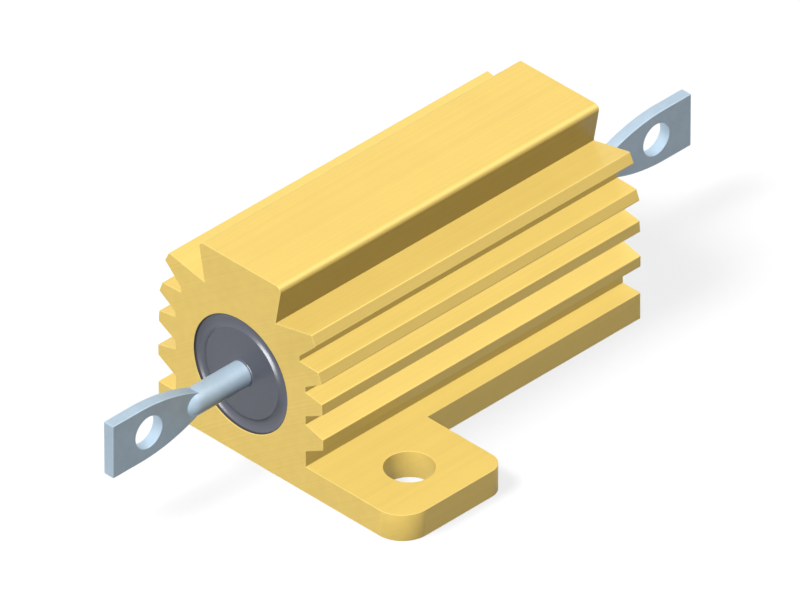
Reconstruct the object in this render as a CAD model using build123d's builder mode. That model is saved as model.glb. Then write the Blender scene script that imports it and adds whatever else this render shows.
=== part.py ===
from build123d import *
from collections import namedtuple
from math import cos, isclose, radians, sin, tan
import os

# A chassis-mount wirewound power resistor. A flat resistance wire is wound on a ceramic core between two
# metal end caps, and this element is moulded into the round bore of a finned aluminium housing, which carries
# its heat down to the surface that it is screwed to. All sizes are in millimetres. The origin is the middle
# of the housing's underside, the terminals lie along X and Z is up.

# Housing: a finned extrusion, sawn to length
body_length = 27.09
housing_height = 13.97
finned_width = 14.06
axis_height = 5.94              # middle of the bore above the underside
bore_diameter = 8.0
block_width = 7.04              # the solid block along the top
block_corner = 0.365            # radius of its two top edges
groove_spacing = 6.04           # between the bottoms of the undercut grooves that part it from the top fins

# Base: a flange over the whole length, milled back to two feet at opposite corners
base_thickness = 1.91
foot_span = 27.49
foot_length = 8.84
outer_foot_corner = 2.0         # radius of the corner at the housing's end
inner_foot_corner = 1.2         # radius of the corner towards the housing's middle
screw_hole = 3.18
hole_to_end = 4.42              # middle of the hole to the housing's end
hole_to_edge = 3.82             # middle of the hole to the foot's outer edge

# Fins: four on each side, whose tips lean further inwards the higher they stand
fin_tip = 0.78                  # width of each tip
fin_corner = 0.08               # radius of the tip's two edges
bottom_fin_height = 4.24        # middle of the lowest tip above the underside
second_fin_rise = 2.54          # middle of each other tip above the one below it
third_fin_rise = 2.23
top_fin_rise = 2.47
second_fin_inset = 0.08         # how far each other tip stands inside the finned width
third_fin_inset = 0.26
top_fin_inset = 0.80
valley_depth = 1.49             # of the valley below each fin, from the finned width
top_valley_depth = 1.99         # of the valley below the top fin

# Moulding: the compound that fills the bore around the element, with a ring-shaped groove in each end
moulding_clearance = 0.02       # to the bore, and to the pieces that it holds
moulding_recess = 0.15          # of each end, below the housing's end
ring_width = 0.90
ring_depth = 0.20
ring_land = 0.03                # flat between the ring's groove and the moulding's edge
end_cover = 3.0                 # face of each end cap below the housing's end

# Element: ceramic core, end caps and resistance wire
core_diameter = 4.8
core_chamfer = 0.25
cap_wall = 0.35
cap_length = 2.9
cap_chamfer = 0.25
cap_clearance = 0.02            # between the core and the skirt of a cap
wire_width = 0.70
wire_thickness = 0.12
wire_clearance = 0.02           # between the wire and the core, and between its ends and the caps
wire_pitch = 1.40

# Terminals: a round rod, its end flattened to a tab with an eye
terminal_length = 11.07         # out of the housing's end
rod_diameter = 1.75
rod_length = 4.05               # out of the housing's end, up to its rounded end
tab_width = 3.80
tab_thickness = 0.80
tab_straight = 2.2              # of the tab's edges, before they draw in towards the rod
neck_width = 1.5                # of the tab where it runs out inside the rod
neck_overlap = 0.3              # of the tab's neck behind the start of the rod's rounded end
eye_diameter = 2.2
eye_to_end = 3.0                # middle of the eye to the tab's end

half_length = body_length / 2
half_width = finned_width / 2
cap_face = half_length - end_cover
core_length = 2 * (cap_face - cap_wall)
core_radius = core_diameter / 2
cap_radius = core_radius + cap_clearance + cap_wall
winding_radius = core_radius + wire_clearance + wire_thickness
winding_space = 2 * (cap_face - cap_length)
rod_radius = rod_diameter / 2

second_fin_height = bottom_fin_height + second_fin_rise
third_fin_height = second_fin_height + third_fin_rise
top_fin_height = third_fin_height + top_fin_rise

# The fins of one side, with the angles of their faces in degrees: how far the tip leans inwards, and how far
# each flank slopes upwards on its way out. Valley is the depth of the valley below the fin.
Fin = namedtuple("Fin", "height inset lean upper_flank lower_flank valley")
fins = [
    Fin(bottom_fin_height, 0, 0, -14.5, 28.5, valley_depth),
    Fin(second_fin_height, second_fin_inset, 4, -9.5, 28.5, valley_depth),
    Fin(third_fin_height, third_fin_inset, 21, -2, 32.5, valley_depth),
    Fin(top_fin_height, top_fin_inset, 26.5, 12, 44.5, top_valley_depth),
]

# The lengthwise plane through the bore: its own x runs along the bore and its y is up.
lengthwise = Plane(origin=(0, 0, axis_height), x_dir=(1, 0, 0), z_dir=(0, -1, 0))
bore_axis = Axis((0, 0, axis_height), (1, 0, 0))


def tip_corner(fin, up):
    """The upper (up = 1) or lower (up = -1) corner of a fin's tip, as half width and height."""
    across = half_width - fin.inset - up * fin_tip / 2 * sin(radians(fin.lean))
    return across, fin.height + up * fin_tip / 2 * cos(radians(fin.lean))


def flank_foot(fin, up, across):
    """Where a fin's upper or lower flank meets the wall that stands at a given half width."""
    corner_across, corner_height = tip_corner(fin, up)
    slope = fin.upper_flank if up > 0 else fin.lower_flank
    return across, corner_height - (corner_across - across) * tan(radians(slope))


def housing_outline():
    """Half of the extrusion's outline, from the middle of the underside round to the middle of the top."""
    valley_walls = [half_width - fin.valley for fin in fins]
    walls_above = valley_walls[1:] + [groove_spacing / 2]
    points = [(0, 0), (half_width, 0), (half_width, base_thickness), (valley_walls[0], base_thickness)]
    for fin, wall_below, wall_above in zip(fins, valley_walls, walls_above):
        points += [flank_foot(fin, -1, wall_below), tip_corner(fin, -1)]
        points += [tip_corner(fin, 1), flank_foot(fin, 1, wall_above)]
    return points + [(block_width / 2, housing_height), (0, housing_height)]


def is_tip_corner(corner):
    """Whether a corner of the extrusion's outline, on either side, is one of a fin's tip."""
    tips = [tip_corner(fin, up) for fin in fins for up in (-1, 1)]
    return any(
        isclose(abs(corner.X), across, rel_tol=1e-6) and isclose(corner.Y, height, rel_tol=1e-6)
        for across, height in tips
    )


with BuildPart() as housing:
    with BuildSketch(Plane.YZ) as section:
        with BuildLine():
            Polyline(*housing_outline())
            mirror(about=Plane.YZ)
        make_face()
        fillet(section.vertices().filter_by(is_tip_corner), radius=fin_corner)
        fillet(section.vertices().group_by(Axis.Y)[-1], radius=block_corner)
        with Locations((0, axis_height)):
            Circle(bore_diameter / 2, mode=Mode.SUBTRACT)
    extrude(amount=half_length, both=True)

    # The flange is milled back flush with the fins, up to the two feet.
    with BuildSketch() as footprint:
        Rectangle(body_length, finned_width)
        with PolarLocations(0, 2):
            with Locations(((foot_length - body_length) / 2, -foot_span / 4)):
                Rectangle(foot_length, foot_span / 2)
        corners = footprint.vertices().group_by(Axis.Y)
        fillet([corners[0].sort_by(Axis.X)[0], corners[-1].sort_by(Axis.X)[-1]], outer_foot_corner)
        corners = footprint.vertices().group_by(Axis.Y)
        fillet([corners[0].sort_by(Axis.X)[-1], corners[-1].sort_by(Axis.X)[0]], inner_foot_corner)
    extrude(amount=base_thickness)

    hole_x = half_length - hole_to_end
    hole_y = foot_span / 2 - hole_to_edge
    with Locations((-hole_x, -hole_y, base_thickness), (hole_x, hole_y, base_thickness)):
        Hole(screw_hole / 2, base_thickness)
housing.part.label = "housing"

with BuildPart() as moulding:
    with BuildSketch(lengthwise):
        moulding_radius = bore_diameter / 2 - moulding_clearance
        moulding_end = half_length - moulding_recess
        ring_outside = moulding_radius - ring_land
        ring_inside = ring_outside - ring_width
        rod_hole = rod_radius + moulding_clearance
        with BuildLine():
            Polyline((0, rod_hole), (moulding_end, rod_hole), (moulding_end, ring_inside))
            ThreePointArc(
                (moulding_end, ring_inside),
                (moulding_end - ring_depth, (ring_inside + ring_outside) / 2),
                (moulding_end, ring_outside),
            )
            Polyline((moulding_end, ring_outside), (moulding_end, moulding_radius), (0, moulding_radius))
            mirror(about=Plane.YZ)
        make_face()
    revolve(axis=bore_axis)
    # The cavity for the element is as wide as its end caps, from one end to the other.
    with Locations((0, 0, axis_height)):
        Cylinder(cap_radius + moulding_clearance, 2 * cap_face, rotation=(0, 90, 0), mode=Mode.SUBTRACT)
moulding.part.label = "moulding"

with BuildPart() as ceramic_core:
    with BuildSketch(Plane.YZ):
        with Locations((0, axis_height)):
            Circle(core_radius)
    extrude(amount=core_length / 2, both=True)
    chamfer(ceramic_core.edges().filter_by(GeomType.CIRCLE), length=core_chamfer)
ceramic_core.part.label = "ceramic_core"

with BuildPart() as winding:
    wire_run = winding_space - 2 * wire_clearance - wire_width
    wire_start = Vector(-wire_run / 2, 0, axis_height)
    with BuildLine():
        wire_path = Helix(
            pitch=wire_pitch,
            height=wire_run,
            radius=winding_radius - wire_thickness / 2,
            center=wire_start,
            direction=(1, 0, 0),
        )
    outwards = wire_path @ 0 - wire_start
    with BuildSketch(Plane(origin=wire_path @ 0, x_dir=outwards, z_dir=wire_path % 0)):
        Rectangle(wire_thickness, wire_width)
    sweep(path=wire_path, is_frenet=True)
winding.part.label = "winding"

pieces = [housing, moulding, ceramic_core, winding]

for end, out in (("front", -1), ("back", 1)):
    # The lengthwise plane at one end of the housing: its own x points out of the housing and its y is up.
    end_plane = Plane(origin=(out * half_length, 0, axis_height), x_dir=(out, 0, 0), z_dir=(0, -out, 0))

    with BuildPart() as end_cap:
        with BuildSketch(end_plane) as cap_section:
            with BuildLine():
                Polyline(
                    (-end_cover, 0),
                    (-end_cover, cap_radius),
                    (-end_cover - cap_length, cap_radius),
                    (-end_cover - cap_length, core_radius + cap_clearance),
                    (-end_cover - cap_wall, core_radius + cap_clearance),
                    (-end_cover - cap_wall, 0),
                    close=True,
                )
            make_face()
            chamfer(cap_section.vertices().group_by(Axis.X)[-1].sort_by(Axis.Y)[-1], length=cap_chamfer)
        revolve(axis=bore_axis)
    end_cap.part.label = "end_cap_" + end

    with BuildPart() as terminal:
        with BuildSketch(end_plane):
            with BuildLine():
                rod_tip = (rod_length + rod_radius, 0)
                dome_start = (rod_length, rod_radius)
                Polyline(rod_tip, (-end_cover, 0), (-end_cover, rod_radius), dome_start)
                RadiusArc(dome_start, rod_tip, rod_radius)
            make_face()
        revolve(axis=bore_axis)
        with BuildSketch(end_plane):
            with BuildLine():
                neck = (rod_length - neck_overlap, neck_width / 2)
                shoulder = (terminal_length - tab_straight, tab_width / 2)
                TangentArc(shoulder, neck, tangent=(-1, 0))
                Polyline(shoulder, (terminal_length, tab_width / 2), (terminal_length, 0))
                Line(neck, (rod_length - neck_overlap, 0))
                mirror(about=Plane.XZ)
            make_face()
            with Locations((terminal_length - eye_to_end, 0)):
                Circle(eye_diameter / 2, mode=Mode.SUBTRACT)
        extrude(amount=tab_thickness / 2, both=True)
    terminal.part.label = "terminal_" + end

    pieces += [end_cap, terminal]

os.makedirs("parts", exist_ok=True)
for piece in pieces:
    export_step(piece.part, "parts/" + piece.part.label + ".step")
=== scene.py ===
import math

import bmesh
import bpy
from bpy.props import FloatProperty, FloatVectorProperty, PointerProperty
from bpy.types import Operator, Panel, PropertyGroup
from mathutils import Matrix, Vector


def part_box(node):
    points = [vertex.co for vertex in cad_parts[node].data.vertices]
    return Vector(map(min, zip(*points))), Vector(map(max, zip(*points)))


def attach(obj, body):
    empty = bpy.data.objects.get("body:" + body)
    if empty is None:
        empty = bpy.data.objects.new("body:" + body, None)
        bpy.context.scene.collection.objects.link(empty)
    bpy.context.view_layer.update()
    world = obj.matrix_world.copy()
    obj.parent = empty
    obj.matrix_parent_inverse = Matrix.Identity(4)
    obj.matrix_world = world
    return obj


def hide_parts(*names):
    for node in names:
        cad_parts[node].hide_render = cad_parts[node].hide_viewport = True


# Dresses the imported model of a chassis-mount wirewound resistor: the gold anodised housing, the dark
# moulding with a groove in each end, the two flattened terminals, and the wound core with its caps inside.
# X runs along the terminals, and the housing stands on the plane Z = 0.
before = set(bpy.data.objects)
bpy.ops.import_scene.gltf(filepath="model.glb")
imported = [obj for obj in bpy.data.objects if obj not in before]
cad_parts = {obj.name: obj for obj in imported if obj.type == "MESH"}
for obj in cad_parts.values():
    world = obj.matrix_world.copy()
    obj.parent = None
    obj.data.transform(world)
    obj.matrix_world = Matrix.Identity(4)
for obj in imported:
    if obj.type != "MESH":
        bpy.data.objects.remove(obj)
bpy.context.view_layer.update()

bl_info = {
    "name": "Wirewound resistor",
    "version": (1, 0, 0),
    "blender": (4, 5, 0),
    "location": "3D View > Sidebar > Resistor",
    "description": "Dresses a chassis-mount wirewound resistor and sets its stage",
    "category": "Object",
}

MM = 0.001

MERGE_DISTANCE = 0.001 * MM         # vertices closer than this are one
FLAT_ANGLE = math.radians(0.5)      # faces that turn by less than this are one
SEAM_ANGLE = math.radians(15)       # an edge of a joined shape is shaded smooth below this
SMOOTH_ANGLE = math.radians(40)     # any other edge is shaded smooth below this
FLAT_WEIGHT = 80                    # how far large faces set the shading, out of 100

EDGE_STEPS = 3                      # across a rounded edge
MOULDING_STEPS = 128                # around the moulding
RING_STEPS = 14                     # across the groove in its ends
MENISCUS_STEPS = 6                  # along the compound that creeps up a rod
ROD_STEPS = 80                      # around a terminal's rod, so a quarter of it over the rounded end
TAPER_STEPS = 32                    # along each edge by which a tab draws in
EYE_STEPS = 64                      # around an eye

LINE_STRETCH = 400                  # how many times longer than wide a draw line is


def from_bytes(red, green, blue):
    """A linear colour from its three display values, 0 to 255."""
    def linear(value):
        part = value / 255
        return part / 12.92 if part <= 0.04045 else ((part + 0.055) / 1.055) ** 2.4

    return linear(red), linear(green), linear(blue)


def length(name, description, default):
    """A length property, in metres."""
    return FloatProperty(
        name=name, description=description, default=default, min=0, unit="LENGTH", precision=5
    )


def angle(name, description, degrees):
    """An angle property, with its default in degrees."""
    return FloatProperty(
        name=name, description=description, default=math.radians(degrees), min=0, subtype="ANGLE"
    )


def colour(name, description, default):
    """A colour property, in linear values."""
    return FloatVectorProperty(
        name=name, description=description, default=default, min=0, max=1, subtype="COLOR"
    )


def share(name, description, default):
    """A property between 0 and 1."""
    return FloatProperty(
        name=name, description=description, default=default, min=0, max=1, subtype="FACTOR"
    )


def strength(name, description, default):
    """The strength of a lamp."""
    return FloatProperty(name=name, description=description, default=default, min=0)


# Settings


class HousingSettings(PropertyGroup):
    edge_radius: length("Edge radius", "Radius of the deburred outer edges", 0.03 * MM)
    sharp_angle: angle("Sharp angle", "An edge that turns by more than this is deburred", 32)
    gold: colour("Gold", "Dyed and anodised surface", from_bytes(242, 208, 111))
    worn_gold: colour("Worn gold", "Thinner dye on the outer edges", from_bytes(250, 226, 150))
    edge_wear: share("Edge wear", "How much of the worn gold shows on the edges", 0.4)
    unevenness: share("Unevenness", "How much darker the darkest spots of the dye are", 0.12)
    metallic: share("Metallic", "How much the metal shows through the dyed oxide", 0.05)
    roughness: share("Roughness", "Satin of the etched surface", 0.42)
    reflection: share("Reflection", "Strength of the oxide's own gloss", 0.35)
    draw_line_width: length("Draw line width", "Width of the fine lines that the die leaves", 0.16 * MM)
    draw_band_width: length("Draw band width", "Width of the broader bands among them", 0.80 * MM)
    saw_mark_width: length("Saw mark width", "Width of the marks on the sawn ends", 0.14 * MM)
    saw_radius: length("Saw radius", "Radius of the blade that cut the ends", 150 * MM)
    grain_size: length("Grain size", "Size of the etched grain", 0.07 * MM)
    cloud_size: length("Cloud size", "Size of the cloudy changes of tone", 6 * MM)
    relief: length("Relief", "Height of the marks and the grain", 0.006 * MM)


class MouldingSettings(PropertyGroup):
    ring_width: length("Ring width", "Width of the ring-shaped groove in each end", 0.90 * MM)
    ring_depth: length("Ring depth", "Depth of the groove", 0.20 * MM)
    ring_land: length("Ring land", "Flat between the groove and the moulding's edge", 0.03 * MM)
    lip: length("Lip", "How far the compound creeps up the bore", 0.13 * MM)
    meniscus: length("Meniscus", "Radius to which the compound creeps up the rod", 0.10 * MM)
    clearance: length("Clearance", "Between the compound and what it holds", 0.02 * MM)
    # The dark ring at the compound's edge is painted shade: it stands for the shadow in the gap between the
    # compound and the bore.
    painted_gap_shade_width: length("Rim width", "Width of the resin-rich rim against the bore", 0.07 * MM)
    painted_gap_shade: colour("Rim", "Resin-rich rim against the bore", from_bytes(62, 58, 62))
    compound: colour("Compound", "Dark blue-grey moulding compound", from_bytes(90, 93, 103))
    unevenness: share("Unevenness", "How much darker the darkest spots are", 0.08)
    roughness: share("Roughness", "Low sheen of the moulded surface", 0.3)
    reflection: share("Reflection", "Strength of the compound's gloss", 0.3)
    filler_size: length("Filler size", "Size of the mineral filler's specks", 0.08 * MM)
    cloud_size: length("Cloud size", "Size of the cloudy changes of tone", 1.5 * MM)
    relief: length("Relief", "Height of the specks", 0.004 * MM)


class TerminalSettings(PropertyGroup):
    rod_length: length("Rod length", "Round part outside the housing, up to its rounded end", 4.05 * MM)
    tab_thickness: length("Tab thickness", "Thickness of the flattened end", 0.80 * MM)
    tab_straight: length("Tab straight", "Parallel part of the tab's edges", 2.2 * MM)
    neck_width: length("Neck width", "Width of the tab where it runs out inside the rod", 1.5 * MM)
    neck_overlap: length("Neck overlap", "Neck of the tab behind the rod's rounded end", 0.3 * MM)
    eye_diameter: length("Eye diameter", "Hole for the wire", 2.2 * MM)
    eye_to_end: length("Eye to end", "Middle of the eye to the tab's end", 3.0 * MM)
    edge_radius: length("Edge radius", "Radius of the pressed edges", 0.05 * MM)
    sharp_angle: angle("Sharp angle", "An edge that turns by more than this is rounded", 50)
    tin: colour("Tin", "Tin plate", from_bytes(178, 199, 215))
    edge_wear: share("Edge wear", "How much brighter metal shows on the edges", 0.5)
    unevenness: share("Unevenness", "How much darker or brighter the plate gets", 0.12)
    metallic: share("Metallic", "Share of metal in the plate's look", 0.06)
    roughness: share("Roughness", "Satin of the plate", 0.36)
    reflection: share("Reflection", "Strength of the plate's own gloss", 0.5)
    grain_size: length("Grain size", "Size of the plate's grain", 0.12 * MM)
    cloud_size: length("Cloud size", "Size of the cloudy changes of tone", 1.2 * MM)
    mark_width: length("Mark width", "Width of the marks along the rod", 0.05 * MM)
    mark_length: length("Mark length", "Length of the marks along the rod", 2 * MM)
    relief: length("Relief", "Height of the grain and the marks", 0.002 * MM)


class CoreSettings(PropertyGroup):
    ceramic: colour("Ceramic", "Unglazed ceramic", from_bytes(236, 231, 219))
    unevenness: share("Unevenness", "How much darker the darkest spots are", 0.1)
    roughness: share("Roughness", "Dry, unglazed surface", 0.8)
    grain_size: length("Grain size", "Size of the fired grain", 0.1 * MM)
    relief: length("Relief", "Height of the grain", 0.003 * MM)


class WindingSettings(PropertyGroup):
    metal: colour("Metal", "Resistance wire", from_bytes(176, 170, 160))
    unevenness: share("Unevenness", "How much darker the darkest marks are", 0.15)
    mark_size: length("Mark size", "Size of the marks that drawing leaves", 0.08 * MM)


class EndCapSettings(PropertyGroup):
    metal: colour("Metal", "Plated steel", from_bytes(200, 200, 196))
    unevenness: share("Unevenness", "How much darker the darkest marks are", 0.15)
    mark_size: length("Mark size", "Size of the marks that pressing leaves", 0.08 * MM)


class StageSettings(PropertyGroup):
    view_width: length("View width", "Width that the camera takes in at the object", 48.22 * MM)
    lens: FloatProperty(
        name="Lens", description="Long lens, for nearly parallel lines", default=1200, unit="CAMERA",
    )
    aim_height: length("Aim height", "Height of the picture's middle above the floor", 4.62 * MM)
    floor_size: length("Floor size", "Side of the square floor", 3.0)
    floor_grey: share("Floor grey", "How much of the light the floor gives back to the object", 0.05)
    floor_white: share("Floor white", "How much of the lamps' light shows on the floor", 0.72)
    ambient: share("Ambient", "Even light from all around", 0.03)
    top: strength("Top", "Lamp above, a little to the right, which makes no gloss", 2.48)
    front: strength("Front", "Lamp before the housing's end, which makes no gloss", 2.76)
    back: strength("Back", "Low lamp behind, like light off the floor, which makes no gloss", 1.7)
    shine: strength("Shine", "Broad lamp that only shows in the gloss", 2.4)
    groove_shine: strength("Groove shine", "Lamp that only shows in the gloss of the moulding", 14.0)
    shade: strength("Shade", "The floor's own lamp, which casts the object's shadow there", 1.2)


class ResistorSettings(PropertyGroup):
    housing: PointerProperty(type=HousingSettings)
    moulding: PointerProperty(type=MouldingSettings)
    terminals: PointerProperty(type=TerminalSettings)
    core: PointerProperty(type=CoreSettings)
    winding: PointerProperty(type=WindingSettings)
    end_caps: PointerProperty(type=EndCapSettings)
    stage: PointerProperty(type=StageSettings)


# Shaders


class Value:
    """An output socket of a shader's node. Arithmetic on a number's socket adds Math nodes."""

    def __init__(self, shader, socket):
        self.shader = shader
        self.socket = socket

    def __add__(self, other):
        return self.shader.math("ADD", self, other)

    def __sub__(self, other):
        return self.shader.math("SUBTRACT", self, other)

    def __rsub__(self, other):
        return self.shader.math("SUBTRACT", other, self)

    def __mul__(self, other):
        return self.shader.math("MULTIPLY", self, other)

    def __abs__(self):
        return self.shader.math("ABSOLUTE", self)

    __radd__ = __add__
    __rmul__ = __mul__


class Shader:
    """The node tree of a new material, or of the world, with its nodes added by name."""

    def __init__(self, owner):
        owner.use_nodes = True
        self.tree = owner.node_tree
        self.tree.nodes.clear()

    @classmethod
    def material(cls, name):
        """A shader for a new material, with the material as its owner."""
        made = bpy.data.materials.new(name)
        shader = cls(made)
        shader.owner = made
        return shader

    def node(self, kind, settings, inputs, output=0):
        """Adds a node, sets its settings and then its inputs, and gives one of its outputs."""
        added = self.tree.nodes.new(kind)
        for name, value in settings.items():
            setattr(added, name, value)
        for name, value in inputs.items():
            socket = added.inputs[name]
            if isinstance(value, Value):
                self.tree.links.new(value.socket, socket)
            else:
                socket.default_value = value
        return Value(self, added.outputs[output]) if added.outputs else None

    def math(self, operation, *values):
        """A Math node on one or two numbers or sockets."""
        return self.node("ShaderNodeMath", {"operation": operation}, dict(enumerate(values)))

    def between(self, value, low, high):
        """0 where value is at or below low and 1 where it is at or above high, smooth in between."""
        limits = {"From Min": low, "From Max": high}
        return self.node(
            "ShaderNodeMapRange", {"interpolation_type": "SMOOTHSTEP"}, {"Value": value, **limits}, "Result"
        )

    def mix(self, factor, first, second):
        """A colour between two colours."""
        inputs = {"Factor": factor, 6: rgba(first), 7: rgba(second)}
        return self.node("ShaderNodeMix", {"data_type": "RGBA"}, inputs, 2)

    def place(self):
        """The point on the object, in metres."""
        return self.node("ShaderNodeTexCoord", {}, {}, "Object")

    def edge(self):
        """1 on the rounded edges and 0 elsewhere."""
        return self.node("ShaderNodeAttribute", {"attribute_name": "edge"}, {}, "Fac")

    def part_of(self, vector, axis):
        """One coordinate of a vector."""
        return self.node("ShaderNodeSeparateXYZ", {}, {"Vector": vector}, axis)

    def scaled(self, vector, scale):
        """A vector multiplied by another, axis by axis."""
        return self.node("ShaderNodeVectorMath", {"operation": "MULTIPLY"}, {0: vector, 1: scale})

    def distance(self, vector, point):
        """How far a vector's end is from a point."""
        return self.node("ShaderNodeVectorMath", {"operation": "DISTANCE"}, {0: vector, 1: point}, "Value")

    def noise(self, vector, detail=2.0, scale=1.0):
        """Soft noise around 0.5 with features of about 1 / scale."""
        inputs = {"Vector": vector, "Scale": scale, "Detail": detail, "Roughness": 0.6}
        return self.node("ShaderNodeTexNoise", {}, inputs, "Fac")

    def bump(self, height, distance):
        """A normal that follows a height between 0 and 1, distance high in metres."""
        return self.node("ShaderNodeBump", {}, {"Height": height, "Distance": distance, "Strength": 1.0})

    def surface(self, inputs):
        """Ends the material in a Principled shader with these inputs."""
        principled = self.node("ShaderNodeBsdfPrincipled", {}, inputs)
        self.node("ShaderNodeOutputMaterial", {}, {"Surface": principled})
        return self.owner


def rgba(value):
    """A colour setting as the four numbers that a colour socket takes. A socket stays as it is."""
    return value if isinstance(value, Value) else (*value, 1.0)


def scaled_colour(tint, factor):
    """A colour made darker or brighter, up to white."""
    return tuple(min(1, factor * part) for part in tint)


def anodised_aluminium(settings):
    """Satin gold: draw lines along the fins, saw marks across the ends, paler edges."""
    shader = Shader.material("anodised_aluminium")
    place = shader.place()
    facing = shader.node("ShaderNodeNewGeometry", {}, {}, "True Normal")
    # The two sawn ends are the faces that look along X.
    on_end = shader.between(abs(shader.part_of(facing, "X")), 0.7, 0.8)
    fine = 1 / settings.draw_line_width
    draw_lines = shader.noise(shader.scaled(place, (fine / LINE_STRETCH, fine, fine)), detail=3.0)
    broad = 1 / settings.draw_band_width
    draw_bands = shader.noise(shader.scaled(place, (broad / LINE_STRETCH, broad, broad)), detail=1.0)

    # The blade's centre lies below and to one side, so its marks cross the ends as slanting arcs.
    saw_centre = (0, -settings.saw_radius * 0.6, -settings.saw_radius * 0.8)
    across = shader.scaled(place, (0, 1, 1))
    reach = shader.distance(across, saw_centre)
    saw_marks = shader.node(
        "ShaderNodeTexNoise", {"noise_dimensions": "1D"},
        {"W": reach * (1 / settings.saw_mark_width), "Scale": 1.0, "Detail": 2.0}, "Fac",
    )
    grain = shader.noise(place, scale=1 / settings.grain_size, detail=2.0)
    cloud = shader.noise(place, scale=1 / settings.cloud_size, detail=2.0)

    lines = draw_lines * (1 - on_end) + saw_marks * on_end
    tone = shader.between(lines * 0.35 + draw_bands * 0.25 + cloud * 0.25 + grain * 0.15, 0.25, 0.75)
    dark_gold = scaled_colour(settings.gold, 1 - settings.unevenness)
    base = shader.mix(tone, dark_gold, settings.gold)
    base = shader.mix(shader.edge() * settings.edge_wear, base, settings.worn_gold)
    return shader.surface({
        "Base Color": base,
        "Metallic": settings.metallic,
        "Roughness": settings.roughness + 0.12 * (lines - 0.5) + 0.08 * (grain - 0.5),
        "Specular IOR Level": settings.reflection,
        "Normal": shader.bump(lines * 0.7 + grain * 0.3, settings.relief),
    })


def dark_compound(settings):
    """Dark compound with fine specks of filler, a low sheen and a painted shade ring at its edge, for the
    dark gap against the bore.
    """
    shader = Shader.material("dark_compound")
    place = shader.place()
    specks = shader.noise(place, scale=1 / settings.filler_size, detail=3.0)
    cloud = shader.noise(place, scale=1 / settings.cloud_size, detail=2.0)
    dark = scaled_colour(settings.compound, 1 - settings.unevenness)
    tone = shader.between(0.6 * specks + 0.4 * cloud, 0.35, 0.65)
    base = shader.mix(tone, dark, settings.compound)
    low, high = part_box("moulding")
    from_axis = shader.distance(shader.scaled(place, (0, 1, 1)), (0, 0, (low.z + high.z) / 2))
    # Painted shade: a dark ring at the outer edge stands for the shadow in the gap against the bore.
    in_painted_gap_shade = shader.between(from_axis, high.y - settings.painted_gap_shade_width, high.y - settings.ring_land)
    return shader.surface({
        "Base Color": shader.mix(in_painted_gap_shade, base, settings.painted_gap_shade),
        "Roughness": settings.roughness + 0.1 * (cloud - 0.5),
        "Specular IOR Level": settings.reflection,
        "Normal": shader.bump(specks, settings.relief),
    })


def tin_plate(settings):
    """Satin tin on copper, with a cloudy grain and slight marks along the rod."""
    shader = Shader.material("tin_plate")
    place = shader.place()
    grain = shader.noise(place, scale=1 / settings.grain_size, detail=3.0)
    cloud = shader.noise(place, scale=1 / settings.cloud_size, detail=2.0)
    fine = 1 / settings.mark_width
    marks = shader.noise(shader.scaled(place, (1 / settings.mark_length, fine, fine)), detail=2.0)
    dull = scaled_colour(settings.tin, 1 - settings.unevenness)
    bright = scaled_colour(settings.tin, 1 + settings.unevenness)
    base = shader.mix(shader.between(0.6 * cloud + 0.4 * grain, 0.3, 0.7), dull, settings.tin)
    return shader.surface({
        "Base Color": shader.mix(shader.edge() * settings.edge_wear, base, bright),
        "Metallic": settings.metallic,
        "Roughness": settings.roughness + 0.1 * (cloud - 0.5) + 0.06 * (marks - 0.5),
        "Specular IOR Level": settings.reflection,
        "Normal": shader.bump(0.7 * grain + 0.3 * marks, settings.relief),
    })


def unglazed_ceramic(settings):
    """Unglazed ceramic with a faint grain."""
    shader = Shader.material("unglazed_ceramic")
    grain = shader.noise(shader.place(), scale=1 / settings.grain_size, detail=3.0)
    dark = scaled_colour(settings.ceramic, 1 - settings.unevenness)
    return shader.surface({
        "Base Color": shader.mix(grain, dark, settings.ceramic),
        "Roughness": settings.roughness,
        "Normal": shader.bump(grain, settings.relief),
    })


def marked_metal(name, settings):
    """Plain metal with fine marks, for the wire and the end caps."""
    shader = Shader.material(name)
    marks = shader.noise(shader.place(), scale=1 / settings.mark_size, detail=3.0)
    dark = scaled_colour(settings.metal, 1 - settings.unevenness)
    return shader.surface({
        "Base Color": shader.mix(marks, dark, settings.metal),
        "Metallic": 1.0,
        "Roughness": 0.3 + 0.2 * marks,
    })


# Pieces


def new_piece(name, shape, material, node):
    """Turns a bmesh into a smooth-shaded piece that stands for a CAD node."""
    mesh = bpy.data.meshes.new(name)
    for face in shape.faces:
        face.smooth = True
    shape.to_mesh(mesh)
    shape.free()
    mesh.materials.append(material)
    piece = bpy.data.objects.new(name, mesh)
    bpy.context.scene.collection.objects.link(piece)
    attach(piece, "root")
    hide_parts(node)
    return piece


def finish_node(node, material):
    """Gives a finish to a CAD node that is shown as it is."""
    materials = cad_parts[node].data.materials
    materials.clear()
    materials.append(material)


def weigh_normals(piece):
    """Keeps the flats flat beside their rounded edges."""
    finish = piece.modifiers.new("flat_faces", "WEIGHTED_NORMAL")
    finish.keep_sharp = True
    finish.weight = FLAT_WEIGHT


def merge_flats(shape):
    """Makes each flat area one face."""
    bmesh.ops.dissolve_limit(shape, angle_limit=FLAT_ANGLE, verts=shape.verts, edges=shape.edges)


def outer_edges(shape, angle):
    """The convex edges that turn by more than an angle."""
    return [edge for edge in shape.edges if edge.is_convex and edge.calc_face_angle() > angle]


def sharp_edges(shape, angle):
    """Marks the edges that turn by an angle or more as sharp, and all others as smooth."""
    for edge in shape.edges:
        edge.smooth = edge.calc_face_angle() < angle


def round_edges(shape, edges, radius):
    """Rounds some edges, marks the new faces in the attribute named edge and shades them smooth."""
    marked = shape.faces.layers.float.new("edge")
    made = bmesh.ops.bevel(
        shape, geom=edges, affect="EDGES", offset=radius, offset_type="OFFSET", segments=EDGE_STEPS,
        profile=0.5, material=-1, clamp_overlap=False,
    )
    for face in made["faces"]:
        face[marked] = 1.0
        for edge in face.edges:
            edge.smooth = edge.calc_face_angle() < SMOOTH_ANGLE


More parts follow.
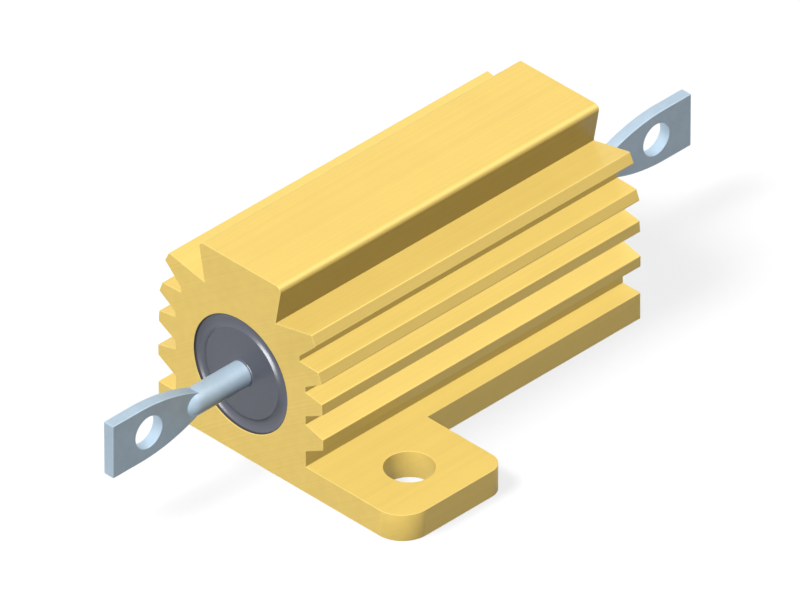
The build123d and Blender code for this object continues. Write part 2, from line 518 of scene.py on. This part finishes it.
def line_to(shape, points, last=None):
    """Adds a run of edges through points (x, z), on from the last vertex if there is one."""
    for x, z in points:
        vertex = shape.verts.new((x, 0, z))
        if last:
            shape.edges.new((last, vertex))
        last = vertex
    return last


def arc_from(shape, last, centre, angle, steps):
    """Adds an arc about a centre (x, z), on from the last vertex."""
    made = bmesh.ops.spin(
        shape, geom=[last], cent=(centre[0], 0, centre[1]), axis=(0, 1, 0), angle=angle, steps=steps,
        use_merge=False,
    )
    return made["geom_last"][0]


def turn_profile(shape, steps):
    """Turns a profile about X to a closed shape."""
    profile = shape.verts[:] + shape.edges[:]
    bmesh.ops.spin(
        shape, geom=profile, cent=(0, 0, 0), axis=(1, 0, 0), angle=2 * math.pi, steps=steps, use_merge=True
    )
    bmesh.ops.remove_doubles(shape, verts=shape.verts, dist=MERGE_DISTANCE)
    bmesh.ops.recalc_face_normals(shape, faces=shape.faces)


class RESISTOR_OT_housing(Operator):
    """Deburr a copy of the housing and anodise it"""

    bl_idname = "resistor.housing"
    bl_label = "Housing"

    def execute(self, context):
        settings = context.scene.resistor.housing
        shape = bmesh.new()
        shape.from_mesh(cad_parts["housing"].data)
        bmesh.ops.remove_doubles(shape, verts=shape.verts, dist=MERGE_DISTANCE)
        merge_flats(shape)
        round_edges(shape, outer_edges(shape, settings.sharp_angle), settings.edge_radius)
        sharp_edges(shape, SMOOTH_ANGLE)
        piece = new_piece(
            "anodised_housing", shape, anodised_aluminium(settings), "housing"
        )
        weigh_normals(piece)
        return {"FINISHED"}


def moulding_profile(settings, end, radius):
    """The section of the moulding's back half: cavity, hole for the rod, grooved end and outside."""
    cap_low, cap_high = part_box("end_cap_back")
    rod_low, rod_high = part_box("terminal_back")
    cap_radius = (cap_high.z - cap_low.z) / 2 + settings.clearance
    rod_radius = (rod_high.y - rod_low.y) / 2 + settings.clearance
    creep_end = end + settings.meniscus

    # The groove is one arc, as wide and as deep as the settings say.
    ring_outside = radius - settings.ring_land
    ring_inside = ring_outside - settings.ring_width
    ring_radius = (settings.ring_width**2 / 4 + settings.ring_depth**2) / (2 * settings.ring_depth)
    ring_angle = 2 * math.asin(settings.ring_width / 2 / ring_radius)
    ring_centre = (end - settings.ring_depth + ring_radius, (ring_inside + ring_outside) / 2)

    shape = bmesh.new()
    last = line_to(shape, [
        (0, cap_radius), (cap_high.x, cap_radius), (cap_high.x, rod_radius), (creep_end, rod_radius),
    ])
    last = arc_from(
        shape, last, (creep_end, rod_radius + settings.meniscus), math.pi / 2, MENISCUS_STEPS
    )
    last = line_to(shape, [(end, ring_inside)], last)
    last = arc_from(shape, last, ring_centre, ring_angle, RING_STEPS)
    line_to(shape, [(end + settings.lip, radius), (0, radius)], last)
    return shape


class RESISTOR_OT_moulding(Operator):
    """Turn the moulding, with the grooves in its ends and the cavity for the element"""

    bl_idname = "resistor.moulding"
    bl_label = "Moulding"

    def execute(self, context):
        settings = context.scene.resistor.moulding
        low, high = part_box("moulding")
        shape = moulding_profile(settings, high.x, (high.z - low.z) / 2)
        half = shape.verts[:] + shape.edges[:]
        bmesh.ops.mirror(shape, geom=half, axis="X", merge_dist=MERGE_DISTANCE)
        bmesh.ops.remove_doubles(shape, verts=shape.verts, dist=MERGE_DISTANCE)
        turn_profile(shape, MOULDING_STEPS)
        bmesh.ops.translate(shape, verts=shape.verts, vec=(0, 0, (low.z + high.z) / 2))
        sharp_edges(shape, SMOOTH_ANGLE)
        new_piece("moulding_compound", shape, dark_compound(settings), "moulding")
        return {"FINISHED"}


def terminal_rod(radius, inner, outer):
    """The rod along X, from its inner end to the end of its round part, and its rounded tip."""
    shape = bmesh.new()
    last = line_to(shape, [(inner, 0), (inner, radius), (outer, radius)])
    arc_from(shape, last, (outer, 0), math.pi / 2, ROD_STEPS // 4)
    turn_profile(shape, ROD_STEPS)
    return shape


def terminal_tab(settings, width, rod_end, tip):
    """The flat tab with its eye, drawn in along two arcs to a neck inside the rod."""
    neck_x = rod_end - settings.neck_overlap
    shoulder_x = tip - settings.tab_straight
    run = shoulder_x - neck_x
    drop = (width - settings.neck_width) / 2
    taper_radius = (run**2 + drop**2) / (2 * drop)
    taper_angle = math.asin(run / taper_radius)

    shape = bmesh.new()
    last = line_to(shape, [(tip, width / 2), (shoulder_x, width / 2)])
    arc_from(shape, last, (shoulder_x, width / 2 - taper_radius), -taper_angle, TAPER_STEPS)
    bmesh.ops.mirror(shape, geom=shape.verts[:] + shape.edges[:], axis="Z", merge_dist=0)
    for at in (tip, neck_x):
        ends = [vertex for vertex in shape.verts if abs(vertex.co.x - at) < MERGE_DISTANCE]
        shape.edges.new(ends)
    outline = shape.edges[:]
    eye = bmesh.ops.create_circle(
        shape, segments=EYE_STEPS, radius=settings.eye_diameter / 2,
        matrix=Matrix.Translation((tip - settings.eye_to_end, 0, 0)) @ Matrix.Rotation(math.pi / 2, 4, "X"),
    )
    hole = list({edge for vertex in eye["verts"] for edge in vertex.link_edges})
    bmesh.ops.triangle_fill(shape, edges=outline + hole, use_beauty=True, use_dissolve=True)
    side = bmesh.ops.extrude_face_region(shape, geom=shape.faces[:])
    moved = [part for part in side["geom"] if isinstance(part, bmesh.types.BMVert)]
    bmesh.ops.translate(shape, verts=moved, vec=(0, settings.tab_thickness, 0))
    bmesh.ops.translate(shape, verts=shape.verts, vec=(0, -settings.tab_thickness / 2, 0))
    bmesh.ops.recalc_face_normals(shape, faces=shape.faces)
    return shape


def joined(first, second):
    """One closed shape of two that overlap."""
    objects = []
    for shape in (first, second):
        mesh = bpy.data.meshes.new("part")
        shape.to_mesh(mesh)
        shape.free()
        part = bpy.data.objects.new("part", mesh)
        bpy.context.scene.collection.objects.link(part)
        objects.append(part)
    union = objects[0].modifiers.new("union", "BOOLEAN")
    union.operation = "UNION"
    union.solver = "EXACT"
    union.object = objects[1]
    both = bmesh.new()
    both.from_object(objects[0], bpy.context.evaluated_depsgraph_get())
    for part in objects:
        mesh = part.data
        bpy.data.objects.remove(part)
        bpy.data.meshes.remove(mesh)
    return both


class RESISTOR_OT_terminals(Operator):
    """Forge the two terminals: a rod whose end is pressed to a tab with an eye"""

    bl_idname = "resistor.terminals"
    bl_label = "Terminals"

    def execute(self, context):
        settings = context.scene.resistor.terminals
        plate = tin_plate(settings)
        rod_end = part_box("housing")[1].x + settings.rod_length
        for side, turn in (("front", math.pi), ("back", 0)):
            low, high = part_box("terminal_" + side)
            inner, tip = sorted((abs(low.x), abs(high.x)))
            rod = terminal_rod((high.y - low.y) / 2, inner, rod_end)
            tab = terminal_tab(settings, high.z - low.z, rod_end, tip)
            shape = joined(rod, tab)
            bmesh.ops.remove_doubles(shape, verts=shape.verts, dist=2 * MERGE_DISTANCE)
            merge_flats(shape)
            pressed = outer_edges(shape, settings.sharp_angle)
            # The line where the tab leaves the rod stays sharp, so that both are shaded evenly up to it.
            sharp_edges(shape, SEAM_ANGLE)
            round_edges(shape, pressed, settings.edge_radius)
            place = Matrix.Translation((0, 0, (low.z + high.z) / 2)) @ Matrix.Rotation(turn, 4, "Z")
            bmesh.ops.transform(shape, matrix=place, verts=shape.verts)
            piece = new_piece(
                "tinned_terminal_" + side, shape, plate, "terminal_" + side
            )
            weigh_normals(piece)
        return {"FINISHED"}


class RESISTOR_OT_core(Operator):
    """Finish the ceramic core"""

    bl_idname = "resistor.core"
    bl_label = "Core"

    def execute(self, context):
        finish_node("ceramic_core", unglazed_ceramic(context.scene.resistor.core))
        return {"FINISHED"}


class RESISTOR_OT_winding(Operator):
    """Finish the resistance wire on the core"""

    bl_idname = "resistor.winding"
    bl_label = "Winding"

    def execute(self, context):
        finish_node("winding", marked_metal("drawn_wire", context.scene.resistor.winding))
        return {"FINISHED"}


class RESISTOR_OT_end_caps(Operator):
    """Finish the two caps on the core's ends"""

    bl_idname = "resistor.end_caps"
    bl_label = "End caps"

    def execute(self, context):
        plated = marked_metal("cap_plate", context.scene.resistor.end_caps)
        for side in ("front", "back"):
            finish_node("end_cap_" + side, plated)
        return {"FINISHED"}


# Stage


def add_sun(name, towards, strength, spread, colour=True, gloss=True, shadow=False):
    """A distant lamp that stands towards a direction and looks spread degrees wide.

    It may leave out a surface's colour or its gloss.
    """
    data = bpy.data.lights.new(name, "SUN")
    data.energy = strength
    data.angle = math.radians(spread)
    data.use_shadow = shadow
    lamp = bpy.data.objects.new(name, data)
    lamp.visible_diffuse = colour
    lamp.visible_glossy = gloss
    lamp.rotation_mode = "QUATERNION"
    lamp.rotation_quaternion = Vector(towards).to_track_quat("Z", "Y")
    bpy.context.scene.collection.objects.link(lamp)
    return lamp


def light_only(lamp, piece):
    """Keeps a lamp's light to one object."""
    lit = bpy.data.collections.new(lamp.name + "_lights")
    lit.objects.link(piece)
    lamp.light_linking.receiver_collection = lit


def seen_rays(shader):
    """1 for what the camera sees, straight or in metal and glass, and 0 for what lights the object."""
    camera, glossy, transmission = (
        shader.node("ShaderNodeLightPath", {}, {}, f"Is {kind} Ray")
        for kind in ("Camera", "Glossy", "Transmission")
    )
    return camera + glossy + transmission


def white_floor(settings):
    """A large sheet that looks white, takes the object's shadow and gives little light back."""
    sheet = bmesh.new()
    bmesh.ops.create_grid(sheet, x_segments=1, y_segments=1, size=settings.floor_size / 2)
    mesh = bpy.data.meshes.new("floor")
    sheet.to_mesh(mesh)
    sheet.free()
    floor = bpy.data.objects.new("floor", mesh)
    bpy.context.scene.collection.objects.link(floor)

    shader = Shader.material("white_floor")
    unseen = shader.node("ShaderNodeBsdfDiffuse", {}, {"Color": rgba([settings.floor_grey] * 3)})
    lit = shader.node("ShaderNodeBsdfDiffuse", {}, {"Color": rgba([settings.floor_white] * 3)})
    seen = shader.node("ShaderNodeMixShader", {}, {0: seen_rays(shader), 1: unseen, 2: lit})
    shader.node("ShaderNodeOutputMaterial", {}, {"Surface": seen})
    mesh.materials.append(shader.owner)
    return floor


def white_surroundings(settings):
    """A world that looks white and lights the object evenly and faintly."""
    world = bpy.data.worlds.new("studio")
    bpy.context.scene.world = world
    shader = Shader(world)
    white = (1, 1, 1, 1)
    light = shader.node("ShaderNodeBackground", {}, {"Color": white, "Strength": settings.ambient})
    backdrop = shader.node("ShaderNodeBackground", {}, {"Color": white, "Strength": 1.0})
    seen = shader.node("ShaderNodeMixShader", {}, {0: seen_rays(shader), 1: light, 2: backdrop})
    shader.node("ShaderNodeOutputWorld", {}, {"Surface": seen})


def add_lamps(settings, floor):
    """Three lamps for the faces' tones, two for the gloss and one for the shadow on the floor."""
    add_sun("top_lamp", (0.0, -0.35, 0.94), settings.top, spread=12, gloss=False)
    add_sun("front_lamp", (-0.90, 0.0, 0.43), settings.front, spread=20, gloss=False)
    add_sun("back_lamp", (0.65, 0.74, -0.15), settings.back, spread=20, gloss=False)
    add_sun("shine_lamp", (0.55, -0.38, 0.74), settings.shine, spread=60, colour=False)
    groove = add_sun(
        "groove_lamp", (-0.90, -0.30, 0.30), settings.groove_shine, spread=45, colour=False
    )
    light_only(groove, bpy.data.objects["moulding_compound"])
    shade = add_sun("floor_lamp", (-0.60, 0.20, 0.80), settings.shade, spread=25, shadow=True)
    light_only(shade, floor)


def isometric_camera(settings):
    """A far camera on the isometric diagonal, with a long lens that keeps parallel edges parallel."""
    data = bpy.data.cameras.new("camera")
    data.lens = settings.lens
    camera = bpy.data.objects.new("camera", data)
    bpy.context.scene.collection.objects.link(camera)
    distance = settings.view_width * settings.lens / data.sensor_width
    towards = Vector((-1, -1, 1)).normalized()
    camera.location = Vector((0, 0, settings.aim_height)) + towards * distance
    camera.rotation_mode = "QUATERNION"
    camera.rotation_quaternion = towards.to_track_quat("Z", "Y")
    data.clip_start = 0.1 * distance
    data.clip_end = 10 * distance
    bpy.context.scene.camera = camera


class RESISTOR_OT_stage(Operator):
    """Set the white floor, the soft lamps and the camera"""

    bl_idname = "resistor.stage"
    bl_label = "Stage"

    def execute(self, context):
        settings = context.scene.resistor.stage
        context.scene.view_settings.view_transform = "Standard"
        # The housing throws no gold light on its surroundings, so each face keeps a tone of its own.
        bpy.data.objects["anodised_housing"].visible_diffuse = False
        floor = white_floor(settings)
        white_surroundings(settings)
        add_lamps(settings, floor)
        isometric_camera(settings)
        return {"FINISHED"}


class RESISTOR_PT_panel(Panel):
    """Lists the pieces and the stage, each with its settings"""

    bl_label = "Wirewound resistor"
    bl_idname = "RESISTOR_PT_panel"
    bl_space_type = "VIEW_3D"
    bl_region_type = "UI"
    bl_category = "Resistor"

    def draw(self, context):
        for operator, group in STEPS:
            box = self.layout.box()
            box.operator(operator.bl_idname)
            settings = getattr(context.scene.resistor, group)
            for name in settings.__annotations__:
                box.prop(settings, name)


STEPS = (
    (RESISTOR_OT_housing, "housing"),
    (RESISTOR_OT_moulding, "moulding"),
    (RESISTOR_OT_terminals, "terminals"),
    (RESISTOR_OT_core, "core"),
    (RESISTOR_OT_winding, "winding"),
    (RESISTOR_OT_end_caps, "end_caps"),
    (RESISTOR_OT_stage, "stage"),
)
CLASSES = (
    HousingSettings, MouldingSettings, TerminalSettings, CoreSettings, WindingSettings, EndCapSettings,
    StageSettings, ResistorSettings, *(operator for operator, group in STEPS), RESISTOR_PT_panel,
)


def register():
    for each in CLASSES:
        bpy.utils.register_class(each)
    bpy.types.Scene.resistor = PointerProperty(type=ResistorSettings)


def unregister():
    del bpy.types.Scene.resistor
    for each in reversed(CLASSES):
        bpy.utils.unregister_class(each)


def main():
    register()
    bpy.ops.resistor.housing()
    bpy.ops.resistor.moulding()
    bpy.ops.resistor.terminals()
    bpy.ops.resistor.core()
    bpy.ops.resistor.winding()
    bpy.ops.resistor.end_caps()
    bpy.ops.resistor.stage()


if __name__ == "__main__":
    main()
